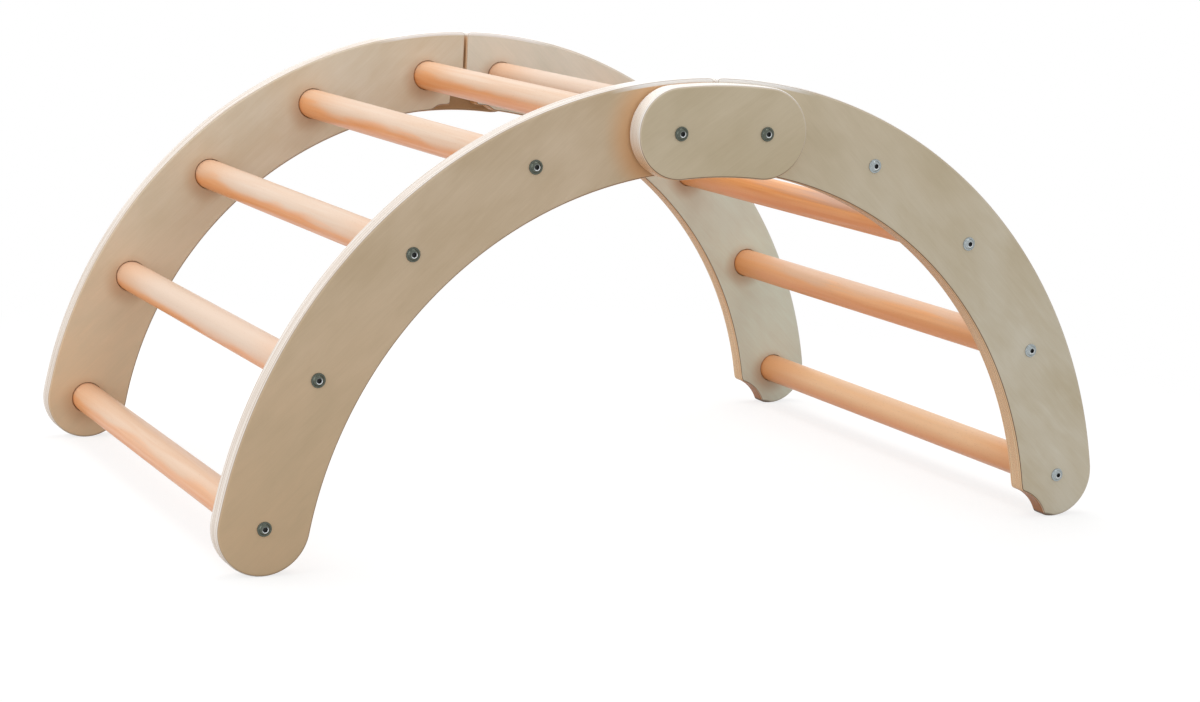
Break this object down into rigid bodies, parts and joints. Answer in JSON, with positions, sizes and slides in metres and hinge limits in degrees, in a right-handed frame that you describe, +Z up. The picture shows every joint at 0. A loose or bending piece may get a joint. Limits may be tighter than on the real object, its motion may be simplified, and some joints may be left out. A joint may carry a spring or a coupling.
{
  "type": "rocker arch",
  "caption": "Folding wooden climbing arch that turns over to rock, with plywood side arcs, dowel rungs and a pivoted crown.",
  "frame": {"origin": "on the floor, in the middle of the arch, between the four feet", "axes": "+X along the arch from the round feet to the hollowed feet, +Y across it from the near side to the far side, +Z up"},
  "size_m": [0.9466, 0.6578, 0.4483],
  "materials": {
    "birch_plywood": "sanded and clear varnished, with bare ply edges",
    "beech_dowel": "turned, sanded and clear varnished",
    "zinc_plated_steel": "bright zinc plating",
    "nylon": "natural, punched from sheet",
    "brass": "as turned"
  },
  "bodies": {
    "left_half": {"near_left_panel": "birch_plywood", "far_left_panel": "birch_plywood", "left_rung_1": "beech_dowel", "left_rung_2": "beech_dowel", "left_rung_3": "beech_dowel", "left_rung_4": "beech_dowel", "left_rung_5": "beech_dowel", "near_left_screws": "zinc_plated_steel", "near_left_pivot_screw": "zinc_plated_steel", "near_left_spacer": "nylon", "near_left_inserts": "brass", "far_left_screws": "zinc_plated_steel", "far_left_pivot_screw": "zinc_plated_steel", "far_left_spacer": "nylon", "far_left_inserts": "brass"},
    "link_plates": {"near_link_plate": "birch_plywood", "far_link_plate": "birch_plywood"},
    "right_half": {"near_right_panel": "birch_plywood", "far_right_panel": "birch_plywood", "right_rung_1": "beech_dowel", "right_rung_2": "beech_dowel", "right_rung_3": "beech_dowel", "right_rung_4": "beech_dowel", "right_rung_5": "beech_dowel", "near_right_screws": "zinc_plated_steel", "near_right_pivot_screw": "zinc_plated_steel", "near_right_spacer": "nylon", "near_right_inserts": "brass", "far_right_screws": "zinc_plated_steel", "far_right_pivot_screw": "zinc_plated_steel", "far_right_spacer": "nylon", "far_right_inserts": "brass"}
  },
  "joints": [
    {"name": "left_pivot", "type": "hinge", "parent": "left_half", "child": "link_plates", "pos_m": [-0.0455, 0, 0.39789], "axis": [0, 1, 0], "range_deg": [0, 48]},
    {"name": "right_pivot", "type": "hinge", "parent": "link_plates", "child": "right_half", "pos_m": [0.0455, 0, 0.39789], "axis": [0, 1, 0], "range_deg": [0, 48]}
  ]
}
